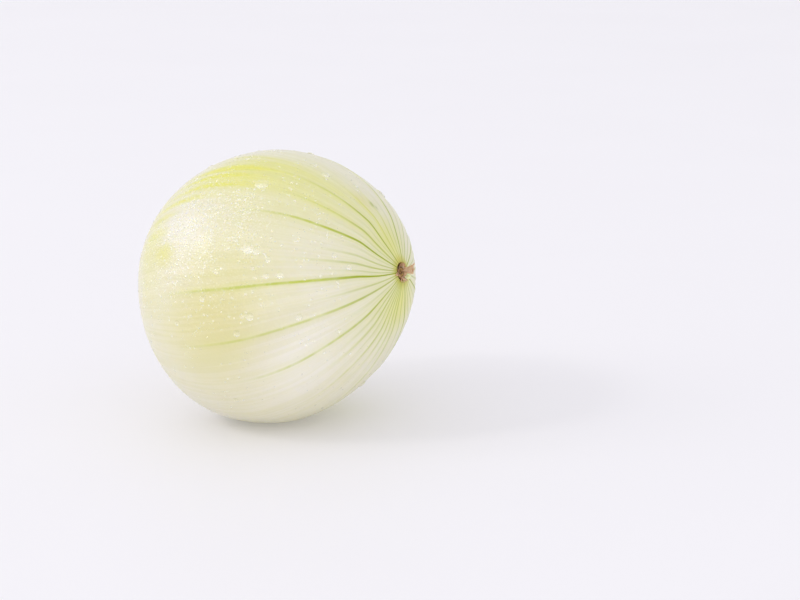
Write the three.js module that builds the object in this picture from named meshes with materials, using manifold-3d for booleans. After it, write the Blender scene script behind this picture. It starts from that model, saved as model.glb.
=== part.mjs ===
// A peeled onion that lies on its side: the fleshy outer scale, the dry neck and the root plate.
// Millimetres, +Z up. The origin is the centre of the flat spot that the onion rests on, and +X is
// the level direction that the neck points in.
// Each piece is first shaped upright on the onion's own axis, with the neck up: z runs along the
// axis from the widest ring, and a longitude turns round it from the side that ends up on top.

import * as THREE from "three";
import { mergeVertices } from "three/addons/utils/BufferGeometryUtils.js";
import Module from "manifold-3d";

const wasm = await Module();
wasm.setup();

const DEG = Math.PI / 180;

// The bulb's outline, from the root rim over the widest ring to the foot of the neck
const BULB_RADIUS = 39.0;
const NECK_HEIGHT = 40.7;
const ROOT_DEPTH = 32.9;
const NECK_FULLNESS = 14.2;
const NECK_FOOT_RADIUS = 3.0;
const NECK_SHOULDER = 22.8;
const NECK_SLOPE = 80 * DEG;
const ROOT_FULLNESS = 19.0;
const ROOT_RIM_RADIUS = 8.0;
const ROOT_FLATNESS = 19.3;

// The section isn't quite round: it is oval, a little three-sided, and the neck stands off centre
const OVAL = 0.05;
const OVAL_LONGITUDE = 108 * DEG;
const THREE_SIDED = 0.0116;
const THREE_SIDED_LONGITUDE = 49 * DEG;
const ROUND_WITHIN_RADIUS = 6;
const FULL_SECTION_RADIUS = 20;
const NECK_OFFSET = 0.82;
const NECK_OFFSET_LONGITUDE = 141 * DEG;
const NECK_OFFSET_POWER = 2.5;

// The main veins are low ribs. The first one turns round the bulb more than the others.
const VEIN_LONGITUDES = [17, 46.3, 81.6, 101.9, 120.2, 145.5, 168, 193, 216, 240, 263, 287, 308, 330, 353];
const VEIN_TURN = -1 * DEG;
const FIRST_VEIN_TURN = -7.4 * DEG;
const FIRST_VEIN_REACH = 16;
const VEIN_HEIGHT = 0.3;
const RIB_HEIGHT = 0.12;
const RIB_SPACING = 3.8;
const RIB_START_RADIUS = 3.5;
const RIB_FULL_RADIUS = 9;
const RIB_FADE_RADIUS = 18;
const RIB_END_RADIUS = 38;

// Neck pit, root seat and the gap that each holds to the piece in it. The middle of a flat facet is
// nearer than its corners, so a round piece gets a little more room.
const GAP = 0.3;
const FACET_ROOM = 0.1;
const NECK_LIP_HEIGHT = 0.25;
const NECK_PIT_RADIUS = 2.3;
const NECK_PIT_DEPTH = 1.6;
const SEAT_RADIUS = 7.0;
const SEAT_DEPTH = 1.6;

// Dry neck: a knot that fills the pit, a ragged crown of papery flaps and one twisted stub
const KNOT_RADIUS = NECK_PIT_RADIUS - GAP - FACET_ROOM;
const KNOT_FOOT_RADIUS = 1.7;
const KNOT_EDGE = 0.3;
const KNOT_PROUD = 0.1;
const KNOT_SIDES = 14;
const CROWN_RADIUS = 1.3;
const CROWN_SUNK = 0.35;
const FLAP_COUNT = 7;
const FLAP_WIDTH = 1.1;
const FLAP_TIP_WIDTH = 0.6;
const FLAP_THICKNESS = 0.6;
const FLAP_TIP_THICKNESS = 0.4;
const FLAP_LENGTHS = [0.85, 1.4];
const FLAP_CURLS = [0.1, 0.4];
const FLAP_CUPS = [0.15, 0.35];
const FLAP_TILTS = [10 * DEG, 40 * DEG];
const FLAP_JITTER = 0.5;
const STUB_LENGTH = 4.3;
const STUB_SUNK = 0.5;
const STUB_OFFSET = 0.15;
const STUB_ROOT_WIDTH = 1.5;
const STUB_TIP_WIDTH = 2.5;
const STUB_FLARE_POWER = 1.5;
const STUB_ROOT_THICKNESS = 1.1;
const STUB_TIP_THICKNESS = 0.8;
const STUB_SIDES = 10;
const STUB_STEPS = 10;
const STUB_LEAN = 0.4;
const STUB_LEAN_LONGITUDE = -5 * DEG;
const STUB_TWIST = 70 * DEG;
const STUB_FOLD = 0.3;
const STUB_SLANT = 0.35;

// Root plate: a corky disc with the stumps of trimmed roots in rings. Its crown is given as pairs of
// a share of the radius and a share of the crown's height.
const PLATE_RADIUS = SEAT_RADIUS - GAP - FACET_ROOM;
const PLATE_BACK_RADIUS = 6.3;
const PLATE_EDGE = 0.5;
const PLATE_EDGE_HEIGHT = 0.2;
const PLATE_CROWN = 0.7;
const PLATE_CROWN_SHAPE = [[0, 1], [0.45, 0.85], [0.8, 0.4], [0.97, 0]];
const PLATE_SIDES = 28;
const ROOT_RINGS = [
  { radius: 5.4, count: 17 },
  { radius: 4.1, count: 13 },
  { radius: 2.7, count: 8 },
  { radius: 1.2, count: 4 },
];
const ROOT_JITTER = 0.6;
const ROOT_RADII = [0.34, 0.56];
const ROOT_TIP_SHARE = 0.8;
const ROOT_LENGTHS = [0.65, 1.95];
const ROOT_SUNK = 0.7;
const ROOT_SPLAYS = [0.2, 0.7];
const ROOT_STRAY = 0.25;
const ROOT_SIDES = 6;

// How the onion lies: its axis rises towards the neck, and a flat spot is pressed where it rests
const AXIS_RISE = 11.9 * DEG;
const SPOT_DEPTH = 0.7;
const SPOT_LEVEL_TOLERANCE = 1e-3;
const BLOCK_SIZE = 200;

const WELD_DISTANCE = 1e-4;
const NECK_SEED = 20;
const ROOT_SEED = 21;

// A seeded source of numbers between two limits
function randomFrom(seed) {
  let state = seed;
  return (low, high) => {
    state = (state + 0x6d2b79f5) | 0;
    let t = Math.imul(state ^ (state >>> 15), 1 | state);
    t = (t + Math.imul(t ^ (t >>> 7), 61 | t)) ^ t;
    return low + ((high - low) * ((t ^ (t >>> 14)) >>> 0)) / 2 ** 32;
  };
}

// A solid for cutting and joining, from any closed geometry: positions only, shared and not collapsed
function solidOf(geometry) {
  const bare = geometry.clone();
  bare.deleteAttribute("normal");
  bare.deleteAttribute("uv");
  const welded = mergeVertices(bare, WELD_DISTANCE);
  const index = welded.index.array;
  const triangles = [];
  for (let i = 0; i < index.length; i += 3) {
    const [a, b, c] = [index[i], index[i + 1], index[i + 2]];
    if (a !== b && b !== c && c !== a) triangles.push(a, b, c);
  }
  return new wasm.Manifold(new wasm.Mesh({
    numProp: 3,
    vertProperties: Float32Array.from(welded.attributes.position.array),
    triVerts: Uint32Array.from(triangles),
  }));
}

function geometryOf(solid) {
  const mesh = solid.getMesh();
  const geometry = new THREE.BufferGeometry();
  geometry.setAttribute("position", new THREE.BufferAttribute(Float32Array.from(mesh.vertProperties), 3));
  geometry.setIndex(Array.from(mesh.triVerts));
  geometry.computeVertexNormals();
  return geometry;
}

function fused(geometries) {
  let whole = solidOf(geometries[0]);
  for (const geometry of geometries.slice(1)) whole = whole.add(solidOf(geometry));
  return geometryOf(whole);
}

// A closed turned shape from [radius, z] pairs that run from the axis back to the axis, going up
// where its side faces out
function turned(pairs, sides) {
  const points = pairs.map(([radius, z]) => new THREE.Vector2(radius, z));
  return new THREE.LatheGeometry(points, sides).rotateX(Math.PI / 2);
}

// Moves every vertex of a geometry to where a function of its place puts it
function reshape(geometry, place) {
  const position = geometry.attributes.position;
  const point = new THREE.Vector3();
  for (let i = 0; i < position.count; i++) {
    place(point.fromBufferAttribute(position, i));
    position.setXYZ(i, point.x, point.y, point.z);
  }
  return geometry;
}

// The bulb's half section, from the middle of the root seat to the middle of the neck pit
function bulbProfile() {
  const at = (radius, z) => new THREE.Vector2(radius, z);
  const rootLip = new THREE.QuadraticBezierCurve(
    at(SEAT_RADIUS, SEAT_DEPTH - ROOT_DEPTH),
    at(SEAT_RADIUS, -ROOT_DEPTH),
    at(ROOT_RIM_RADIUS, -ROOT_DEPTH),
  );
  const rootHalf = new THREE.CubicBezierCurve(
    at(ROOT_RIM_RADIUS, -ROOT_DEPTH),
    at(ROOT_RIM_RADIUS + ROOT_FLATNESS, -ROOT_DEPTH),
    at(BULB_RADIUS, -ROOT_FULLNESS),
    at(BULB_RADIUS, 0),
  );
  const neckHalf = new THREE.CubicBezierCurve(
    at(BULB_RADIUS, 0),
    at(BULB_RADIUS, NECK_FULLNESS),
    at(
      NECK_FOOT_RADIUS + NECK_SHOULDER * Math.sin(NECK_SLOPE),
      NECK_HEIGHT - NECK_SHOULDER * Math.cos(NECK_SLOPE),
    ),
    at(NECK_FOOT_RADIUS, NECK_HEIGHT),
  );
  const neckLip = new THREE.QuadraticBezierCurve(
    at(NECK_FOOT_RADIUS, NECK_HEIGHT),
    at(NECK_PIT_RADIUS, NECK_HEIGHT + NECK_LIP_HEIGHT),
    at(NECK_PIT_RADIUS, NECK_HEIGHT - NECK_PIT_DEPTH),
  );
  return [
    at(0, SEAT_DEPTH - ROOT_DEPTH),
    ...rootLip.getPoints(4),
    ...rootHalf.getPoints(13).slice(1),
    ...neckHalf.getPoints(16).slice(1),
    ...neckLip.getPoints(4).slice(1),
    at(0, NECK_HEIGHT - NECK_PIT_DEPTH),
  ];
}

// The columns of the bulb's mesh: one on each main vein, and between two veins an even number of
// steps, so that a fine rib and the furrow beside it take turns
function bulbColumns() {
  const columns = [];
  VEIN_LONGITUDES.forEach((from, i) => {
    const next = VEIN_LONGITUDES[(i + 1) % VEIN_LONGITUDES.length];
    const span = (next - from + 360) % 360;
    const steps = 2 * Math.round(span / (2 * RIB_SPACING));
    for (let k = 0; k < steps; k++) {
      const height = k === 0 ? VEIN_HEIGHT : k % 2 === 0 ? RIB_HEIGHT : -RIB_HEIGHT;
      columns.push({ longitude: (from + (span * k) / steps) * DEG, height });
    }
  });
  return columns;
}

// How much longer than round the section's radius is at a longitude
function sectionShape(longitude) {
  return OVAL * Math.cos(2 * (longitude - OVAL_LONGITUDE))
    + THREE_SIDED * Math.cos(3 * (longitude - THREE_SIDED_LONGITUDE));
}

// A vein's longitude changes a little between the root and the neck
function turnedLongitude(longitude, z) {
  const fromFirst = (longitude / DEG - VEIN_LONGITUDES[0] + 540) % 360 - 180;
  const turn = VEIN_TURN + FIRST_VEIN_TURN * Math.exp(-((fromFirst / FIRST_VEIN_REACH) ** 2));
  return longitude + turn * (z / NECK_HEIGHT - 0.5);
}

// Ribs are highest on the shoulder round the neck, and die out towards the widest ring
function ribShare(radius, z) {
  if (z < 0) return 0;
  const grown = THREE.MathUtils.smoothstep(radius, RIB_START_RADIUS, RIB_FULL_RADIUS);
  return grown * (1 - THREE.MathUtils.smoothstep(radius, RIB_FADE_RADIUS, RIB_END_RADIUS));
}

function neckOffset(z) {
  const size = NECK_OFFSET * THREE.MathUtils.clamp(z / NECK_HEIGHT, 0, 1) ** NECK_OFFSET_POWER;
  return [size * Math.cos(NECK_OFFSET_LONGITUDE), size * Math.sin(NECK_OFFSET_LONGITUDE)];
}

function bulbSurface() {
  const profile = bulbProfile();
  const columns = bulbColumns();
  const surface = new THREE.LatheGeometry(profile, columns.length);
  const position = surface.attributes.position;
  for (let i = 0; i <= columns.length; i++) {
    const column = columns[i % columns.length];
    profile.forEach(({ x: radius, y: z }, j) => {
      const longitude = turnedLongitude(column.longitude, z);
      const share = THREE.MathUtils.smoothstep(radius, ROUND_WITHIN_RADIUS, FULL_SECTION_RADIUS);
      const reach = radius * (1 + share * sectionShape(longitude)) + ribShare(radius, z) * column.height;
      const [x, y] = neckOffset(z);
      position.setXYZ(
        i * profile.length + j,
        x + reach * Math.cos(longitude),
        y + reach * Math.sin(longitude),
        z,
      );
    });
  }
  return surface;
}

// The pressed spot: everything below a level plane goes, in the bulb's own upright frame
function restedBulb(surface, lie) {
  const point = new THREE.Vector3();
  const position = surface.attributes.position;
  let lowest = Infinity;
  for (let i = 0; i < position.count; i++) {
    lowest = Math.min(lowest, point.fromBufferAttribute(position, i).applyMatrix4(lie).z);
  }
  const level = lowest + SPOT_DEPTH;
  const block = new THREE.BoxGeometry(BLOCK_SIZE, BLOCK_SIZE, BLOCK_SIZE);
  block.translate(0, 0, level + BLOCK_SIZE / 2);
  block.applyMatrix4(lie.clone().invert());
  const kept = geometryOf(solidOf(surface).intersect(solidOf(block)));
  return { kept, level };
}

// The middle of the pressed spot, as the mean of the corners of its edge
function spotCentre(geometry, lie, level) {
  const point = new THREE.Vector3();
  const centre = new THREE.Vector3();
  const position = geometry.attributes.position;
  let count = 0;
  for (let i = 0; i < position.count; i++) {
    point.fromBufferAttribute(position, i).applyMatrix4(lie);
    if (Math.abs(point.z - level) < SPOT_LEVEL_TOLERANCE) {
      centre.add(point);
      count += 1;
    }
  }
  centre.divideScalar(count);
  centre.z = level;
  return centre;
}

// One papery flap of the crown: a thin blade that narrows to its tip and curls outwards
function crownFlap(random) {
  const curl = random(...FLAP_CURLS);
  const length = random(...FLAP_LENGTHS);
  const cup = random(...FLAP_CUPS);
  const flap = new THREE.BoxGeometry(1, 1, 1, 1, 2, 4).translate(0, 0, 0.5);
  return reshape(flap, (point) => {
    const along = point.z;
    const across = point.y * THREE.MathUtils.lerp(FLAP_WIDTH, FLAP_TIP_WIDTH, along * along);
    const through = point.x * THREE.MathUtils.lerp(FLAP_THICKNESS, FLAP_TIP_THICKNESS, along);
    point.set(through + curl * along * along + cup * across * across, across, along * length);
  });
}

// The stub: the folded end of the dried leaves, narrow where it leaves the pit and broad at its tip
function neckStub() {
  const stub = new THREE.CylinderGeometry(0.5, 0.5, 1, STUB_SIDES, STUB_STEPS);
  stub.rotateX(Math.PI / 2).translate(0, 0, 0.5);
  return reshape(stub, (point) => {
    const along = point.z;
    const width = THREE.MathUtils.lerp(STUB_ROOT_WIDTH, STUB_TIP_WIDTH, along ** STUB_FLARE_POWER);
    const thickness = THREE.MathUtils.lerp(STUB_ROOT_THICKNESS, STUB_TIP_THICKNESS, along);
    const fold = STUB_FOLD * Math.sin(point.x * Math.PI * 2) * along;
    const turn = STUB_TWIST * (along - 1) + STUB_LEAN_LONGITUDE;
    const [across, through] = [point.x * width, point.y * thickness + fold];
    const lean = STUB_LEAN * along * along;
    point.set(
      across * Math.cos(turn) - through * Math.sin(turn) + lean * Math.cos(STUB_LEAN_LONGITUDE),
      across * Math.sin(turn) + through * Math.cos(turn) + lean * Math.sin(STUB_LEAN_LONGITUDE),
      along * STUB_LENGTH + STUB_SLANT * point.x * along,
    );
  });
}

function dryNeck() {
  const random = randomFrom(NECK_SEED);
  const foot = NECK_HEIGHT - NECK_PIT_DEPTH + GAP;
  const top = NECK_HEIGHT + KNOT_PROUD;
  const knot = turned([
    [0, foot],
    [KNOT_FOOT_RADIUS, foot],
    [KNOT_RADIUS, foot + KNOT_EDGE],
    [KNOT_RADIUS, top - KNOT_EDGE],
    [CROWN_RADIUS, top],
    [0, top],
  ], KNOT_SIDES);
  const pieces = [knot];
  for (let i = 0; i < FLAP_COUNT; i++) {
    const longitude = ((i + random(0, FLAP_JITTER)) / FLAP_COUNT) * 2 * Math.PI;
    const flap = crownFlap(random).rotateY(random(...FLAP_TILTS));
    pieces.push(flap.translate(CROWN_RADIUS, 0, top - CROWN_SUNK).rotateZ(longitude));
  }
  pieces.push(neckStub().translate(STUB_OFFSET, 0, top - STUB_SUNK));
  const [x, y] = neckOffset(NECK_HEIGHT);
  return fused(pieces).translate(x, y, 0);
}

// The stump of one root, which hangs down from where it is sunk in the plate
function rootStump(random) {
  const length = random(...ROOT_LENGTHS);
  const radius = random(...ROOT_RADII);
  const stump = new THREE.CylinderGeometry(
    radius,
    radius * ROOT_TIP_SHARE,
    length + ROOT_SUNK,
    ROOT_SIDES,
  );
  return stump.rotateX(Math.PI / 2).translate(0, 0, (ROOT_SUNK - length) / 2);
}

function rootPlate() {
  const random = randomFrom(ROOT_SEED);
  const back = SEAT_DEPTH - GAP - ROOT_DEPTH;
  const edge = -ROOT_DEPTH - PLATE_EDGE_HEIGHT;
  const plate = turned([
    ...PLATE_CROWN_SHAPE.map(([out, down]) => [PLATE_RADIUS * out, edge - PLATE_CROWN * down]),
    [PLATE_RADIUS, edge + PLATE_EDGE],
    [PLATE_BACK_RADIUS, back],
    [0, back],
  ], PLATE_SIDES);
  const pieces = [plate];
  for (const { radius, count } of ROOT_RINGS) {
    for (let i = 0; i < count; i++) {
      const longitude = ((i + random(0, ROOT_JITTER)) / count) * 2 * Math.PI;
      const face = edge - PLATE_CROWN * (1 - (radius / PLATE_RADIUS) ** 2);
      const splay = (radius / PLATE_RADIUS) * random(...ROOT_SPLAYS);
      const stump = rootStump(random).rotateY(-splay);
      const place = radius + random(-ROOT_STRAY, ROOT_STRAY);
      pieces.push(stump.translate(place, 0, face).rotateZ(longitude));
    }
  }
  return fused(pieces);
}

function piece(name, geometry, color, roughness) {
  const mesh = new THREE.Mesh(
    geometry,
    new THREE.MeshStandardMaterial({ color, roughness, metalness: 0 }),
  );
  mesh.name = name;
  return mesh;
}

// The upright axis lies down towards +X, and longitude 0 stays on top
const lying = new THREE.Euler(0, Math.PI / 2 - AXIS_RISE, Math.PI);
const lie = new THREE.Matrix4().makeRotationFromEuler(lying);
const { kept, level } = restedBulb(bulbSurface(), lie);

const lyingOnion = new THREE.Group();
lyingOnion.rotation.copy(lying);
lyingOnion.position.copy(spotCentre(kept, lie, level)).negate();
lyingOnion.add(
  piece("bulb", kept, 0xe6e2bc, 0.28),
  piece("dry_neck", dryNeck(), 0x9a7350, 0.85),
  piece("root_plate", rootPlate(), 0xb59a6c, 0.9),
);

const onion = new THREE.Group();
onion.name = "onion";
onion.add(lyingOnion);

export default onion;
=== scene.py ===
"""A peeled onion on its side: moist veined flesh, beads of water, a dry neck and a root plate.

Sizes are in millimetres on the onion's own upright axis, with the neck up and z counted from the
widest ring. A longitude turns round that axis from the side that ends up on top. One matrix lays
the pieces down where the frame holds the bulb, and turns millimetres to metres.
"""
import math
import random

import bmesh
import bpy
from mathutils import Matrix, Vector, noise
from mathutils.bvhtree import BVHTree


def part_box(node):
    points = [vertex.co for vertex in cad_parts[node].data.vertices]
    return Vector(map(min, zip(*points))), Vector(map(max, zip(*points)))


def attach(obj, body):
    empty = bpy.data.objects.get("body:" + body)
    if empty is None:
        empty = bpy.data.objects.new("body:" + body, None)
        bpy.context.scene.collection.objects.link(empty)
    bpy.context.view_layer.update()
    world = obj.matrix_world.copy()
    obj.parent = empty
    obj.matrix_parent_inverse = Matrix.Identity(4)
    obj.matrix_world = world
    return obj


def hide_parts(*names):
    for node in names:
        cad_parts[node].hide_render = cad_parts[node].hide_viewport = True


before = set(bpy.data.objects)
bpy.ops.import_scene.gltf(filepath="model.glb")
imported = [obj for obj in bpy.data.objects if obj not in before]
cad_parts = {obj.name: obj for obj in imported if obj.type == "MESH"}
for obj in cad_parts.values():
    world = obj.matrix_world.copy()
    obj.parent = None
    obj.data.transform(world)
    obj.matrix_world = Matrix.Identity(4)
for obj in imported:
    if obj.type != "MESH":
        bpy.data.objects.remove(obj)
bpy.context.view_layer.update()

MM = 0.001

# A value that ends in CHANCES starts random draws, so that each run gives the same ones.
# Points of a mesh that are closer together than this are merged.
MERGE_WITHIN = 1e-4

# The bulb's outline, as in the frame
BULB_RADIUS = 39.0
NECK_HEIGHT = 40.7
ROOT_DEPTH = 32.9
NECK_FULLNESS = 14.2
NECK_FOOT_RADIUS = 3.0
NECK_SHOULDER = 22.8
NECK_SLOPE = math.radians(80)
ROOT_FULLNESS = 19.0
ROOT_RIM_RADIUS = 8.0
ROOT_FLATNESS = 19.3
OVAL = 0.05
OVAL_LONGITUDE = math.radians(108)
THREE_SIDED = 0.0116
THREE_SIDED_LONGITUDE = math.radians(49)
ROUND_WITHIN_RADIUS = 6
FULL_SECTION_RADIUS = 20
NECK_OFFSET = 0.82
NECK_OFFSET_LONGITUDE = math.radians(141)
NECK_OFFSET_POWER = 2.5
AXIS_RISE = math.radians(11.9)
NECK_LIP_HEIGHT = 0.25
NECK_PIT_RADIUS = 2.3
NECK_PIT_DEPTH = 1.6
SEAT_RADIUS = 7.0
SEAT_DEPTH = 1.6
SEAT_STEPS = 3
SEAT_WALL_STEPS = 6
ROOT_HALF_STEPS = 54
NECK_HALF_STEPS = 84
LIP_STEPS = 8
PIT_STEPS = 2

# Veins: longitude in degrees, strength near the neck, and how far down it still shows, in mm
VEINS = [
    (3.2, 0.35, 22), (17, 0.85, 12), (24.5, 0.25, 26), (32, 0.55, 12), (38.7, 0.35, 26),
    (46.3, 1.0, 5), (54, 0.3, 27), (61, 0.5, 23), (68.8, 0.5, 18), (75.4, 0.45, 25),
    (81.2, 1.0, -16), (93, 0.5, 23), (102.3, 0.6, -14), (111.2, 0.35, 26), (120.4, 0.65, -2),
    (128, 0.45, 22), (134.4, 0.5, 16), (140.3, 0.4, 22), (147, 0.45, 8), (154, 0.45, 16),
    (161, 0.5, 18), (168, 0.5, 0), (180, 0.4, 18), (193, 0.9, -8), (205, 0.4, 20),
    (216, 0.45, 6), (228, 0.35, 20), (240, 0.95, -14), (252, 0.4, 18), (263, 0.5, 2),
    (275, 0.4, 20), (287, 0.9, -8), (297, 0.4, 18), (308, 0.45, 8), (319, 0.4, 20),
    (330, 0.8, -4), (340, 0.35, 24), (350.6, 0.35, 22),
]
VEIN_TURN = math.radians(1)
FIRST_VEIN_LONGITUDE = 17
FIRST_VEIN_TURN = math.radians(-5)
FIRST_VEIN_REACH = 16
VEIN_WANDER = math.radians(0.9)
VEIN_WANDER_LENGTH = 13
VEIN_WANDER_AROUND = 2.5
VEIN_RELIEF = 0.14
VEIN_RELIEF_WIDTH = 0.55
VEIN_START_RADIUS = 3
VEIN_FULL_RADIUS = 8
VEIN_FADE = 26
VEIN_CURL = math.radians(9)
VEIN_CURL_LONGITUDE = math.radians(102)
VEIN_CURL_START = 35.5
RIB_RELIEF = 0.1
RIB_SPACING = 3.8
RIB_START_RADIUS = 2.6
RIB_FULL_RADIUS = 9
RIB_FADE_RADIUS = 18
RIB_END_RADIUS = 38
MESH_COLUMNS = 540
VEIN_CROWDING = 0.75
SWELL = 0.25
SWELL_LENGTH = 24
SWELL_AROUND = 1.6
SWELL_START_RADIUS = 9

# Fine lines round the flesh. Each ends at a z of its own, from the lowest up to the range above it.
FINE_LINES = 92.0
FINE_LINE_WANDER = 5.0
FINE_LINE_LOWEST_END = 10.0
FINE_LINE_END_RANGE = 44.0

# Patterns on the flesh, in mm: pale clouds in its depth, the grain of its skin, and the spacing of
# droplets that are too fine to be modelled, which are drawn as painted glints
CLOUD_SIZE = 18.18
SKIN_GRAIN_SIZE = 1.111
DROPLET_SPACING = 0.8696
FINE_DROPLET_SPACING = 0.4762

# Tints of the flesh: longitude, z, half width in degrees, half height in mm, green, beige, yellow.
# Beige is the flesh's own colour in places and a painted shade near longitudes 90 to 100.
# Where the greens add up to less than 0, the flesh is paler, a painted highlight of the sheen.
GREEN_EVERYWHERE = 0.1
SMALLEST_SHARE = 0.01
TINTS = [
    (16, 27, 22, 15, 0.75, 0.0, 0.0),
    (32, 30, 3, 10, 0.45, 0.0, 0.25),
    (11.5, 12, 2.5, 15, 0.4, 0.0, 0.3),
    (6, 4, 1.5, 12, 0.5, 0.0, 0.3),
    (25, 3, 14, 13, 0.3, 0.0, 0.6),
    (17.5, 1, 2.4, 12, 0.1, 0.0, 1.0),
    (24.2, -3, 1.9, 12, 0.0, 0.0, 1.1),
    (32.2, -5, 1.9, 12, 0.0, 0.0, 0.8),
    (39, -10, 1.8, 9, 0.0, 0.0, 1.3),
    (46, -15, 2.0, 7, 0.0, 0.0, 0.6),
    (53.5, -15, 3.5, 5, 0.0, 0.0, 0.4),
    (65, -11, 5.0, 3.5, 0.0, 0.4, 0.55),
    (58, -18, 24, 5, 0.0, 0.1, 0.4),
    (84, 6, 24, 13, 0.35, 0.1, 0.0),
    # Greens below 0 in the next three rows are a painted highlight.
    (52, -3, 10, 9, -0.3, -0.1, -0.3),
    (70, -4, 14, 10, -0.4, 0.0, 0.0),
    (118, 18, 26, 16, -0.4, 0.0, 0.0),
    # Beige in the next two rows is a painted shade.
    (91, 7, 14, 12, 0.1, 0.35, 0.0),
    (98, 0, 28, 16, 0.25, 0.55, 0.0),
    (72, 10, 16, 12, 0.2, 0.15, 0.0),
    (-9.4, 38, 4, 5, 0.5, 0.1, 0.1),
    (3.2, 35, 2.4, 5, 0.5, 0.2, 0.5),
    (-3, 32.5, 7, 2.5, 0.1, 0.6, 0.15),
    (-5, 39.5, 30, 2.5, 0.4, 0.0, 0.5),
    (180, 40, 45, 3.5, 0.5, 0.0, 0.7),
    (22, 14, 24, 14, 0.35, 0.0, 0.1),
    (38, 25, 16, 12, 0.35, 0.0, 0.0),
    (205, 4, 26, 16, 0.4, 0.0, 0.3),
    (196, 2, 2.4, 18, 0.0, 0.0, 0.5),
    (203, -3, 2.8, 16, 0.0, 0.0, 0.5),
    (262, -6, 22, 18, 0.3, 0.3, 0.2),
    (268, -8, 3.5, 20, 0.0, 0.0, 0.3),
    (312, 10, 26, 18, 0.6, 0.0, 0.3),
    (318, 2, 2.2, 18, 0.0, 0.0, 0.55),
    (325, -6, 2.8, 15, 0.0, 0.0, 0.5),
    (345, -14, 12, 8, 0.2, 0.0, 0.5),
]
# Bruised spots: longitude, z, half width in degrees, half height in mm
BRUISES = [(-9.4, 33.6, 2.0, 0.6), (-13, 34.3, 1.2, 0.4)]

# Dry neck. Each part's foot is sunk below the neck's height, into the pit. Lumps are a height and
# a rate. The leaf ends droop, and are longer, round two longitudes, with half widths in degrees.
KNOT_RADIUS = 1.6
KNOT_ROUNDNESS = 0.92
KNOT_HALF_HEIGHT = 0.7
KNOT_LUMPS = [(0.16, 2.6), (0.07, 7)]
KNOT_SUNK = 0.55
FLAP_COUNT = 17
FLAP_CHANCES = 11
FLAP_SPREAD = (0, 0.7)
FLAP_RING = 1.45
FLAP_RING_SPREAD = (-0.35, 0.15)
FLAP_GRID = (6, 9)
FLAP_SUNK = 0.5
FLAP_DROOPS = [(85, 50), (170, 40)]
FLAP_LENGTHS = (0.8, 1.3)
FLAP_DROOP_LENGTH = 0.9
FLAP_HALF_WIDTHS = (0.45, 0.8)
FLAP_LEANS = (5, 35)
FLAP_DROOP_LEAN = 16
FLAP_CURLS = (10, 45)
FLAP_THICKNESSES = (0.1, 0.18)
FLAP_TAPER = 0.55
FLAP_CUP = 0.18
FLAP_CRINKLE = 0.12
FLAP_RAGGED = 0.22
STUB_LENGTH = 4.2
STUB_WIDTHS = (1.1, 2.8)
STUB_TWIST = math.radians(70)
STUB_LEAN = 0.4
STUB_LEAN_LONGITUDE = math.radians(-5)
STUB_THICKNESS = 0.2
STUB_GRID = (14, 18)
STUB_FOOT_SHIFT = 0.15
STUB_SUNK = 0.4
# Layers of the stub: share of its width, shift through the fold, share of its length
STUB_LAYERS = [(1.0, 0.0, 1.0), (0.78, 0.26, 0.9), (0.6, -0.24, 0.8)]
PLEAT_DEPTH = 0.3
PLEAT_RATE = 5.0
GREEN_END_LONGITUDE = math.radians(222)
GREEN_END_RING = 1.75
GREEN_END_LENGTH = 1.9
GREEN_END_HALF_WIDTH = 0.95
GREEN_END_CURL = 0.9
GREEN_END_THICKNESS = 0.35
GREEN_END_GRID = (8, 10)
GREEN_END_SUNK = 0.6

# Root plate
PLATE_RADIUS = 6.93
PLATE_CROWN = 0.7
PLATE_EDGE_HEIGHT = 0.1
PLATE_RING_RELIEF = 0.1
PLATE_RING_RATE = 4.2
PLATE_FACE_STEPS = 26
PLATE_STEPS_AROUND = 96
PLATE_BULGE = 0.05
PLATE_BULGE_HEIGHT = 0.25
PLATE_BACK_GAP = 0.3
PLATE_LUMPS = [(0.16, 1.4), (0.08, 4)]
STUMP_COUNT = 120
STUMP_CHANCES = 5
STUMP_FIELD_RADIUS = 6.0
STUMP_SPREAD = (-0.12, 0.12)
STUMP_TURN_SPREAD = (-0.1, 0.1)
STUMP_LENGTHS = (0.5, 1.75)
STUMP_RADII = (0.24, 0.42)
STUMP_SPLAYS = (0.2, 0.6)
STUMP_SIDES = 7
STUMP_TAPER = 0.72
STUMP_SUNK = 0.4
STUMP_CURVE = 0.25
STUMP_UNEVEN = 0.16
GOLDEN_ANGLE = 2.39996

# Water beads at pixels of the camera's view, each with its radius in mm
IMAGE_WIDTH = 800
IMAGE_HEIGHT = 600
BEADS = [
    (262, 184, 2.0), (248, 248, 1.7), (256, 251, 1.1), (268, 259.5, 0.9), (252.5, 268, 0.6),
    (266, 276, 0.8), (280, 275, 1.0), (217, 271, 1.0), (334.5, 255.5, 0.8), (349, 267, 0.9),
    (337.5, 282, 0.7), (299, 317, 0.9), (249.5, 317, 1.1), (242, 316, 0.7), (236.6, 333.6, 0.9),
    (202, 299, 0.8), (177, 323, 0.8), (339.5, 331, 0.6), (301, 341.5, 0.6), (236, 400, 0.8),
]
WATER_CHANCES = 3
BEAD_GRID = (22, 12)
BEAD_FLATNESS = (0.3, 0.42)
BEAD_FOOT = 0.3
BEAD_UNEVEN = 0.14
BEAD_LOBES = 1.3
RIPPLE_WIDTH = 1.4286
BEAD_SAG = 0.12
BEAD_SEEDS = (0, 90)
FAR_BEAD_COUNT = 45
SMALLEST_FAR_BEAD = 0.45
FAR_BEAD_RANGE = 0.9
FAR_BEAD_LONGITUDES = (165, 375)
FAR_BEAD_HEIGHTS = (-26, 30)
LOWEST_BEAD = 12
MIST_COUNT = 2400
MIST_GRID = (7, 4)
MIST_HEIGHTS = (-28, 34)
SMALLEST_MIST = 0.12
MIST_RANGE = 0.36
MIST_FLATNESS = 0.3
MIST_PATCHES = 110
MIST_CHANCE = 1.4
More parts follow.
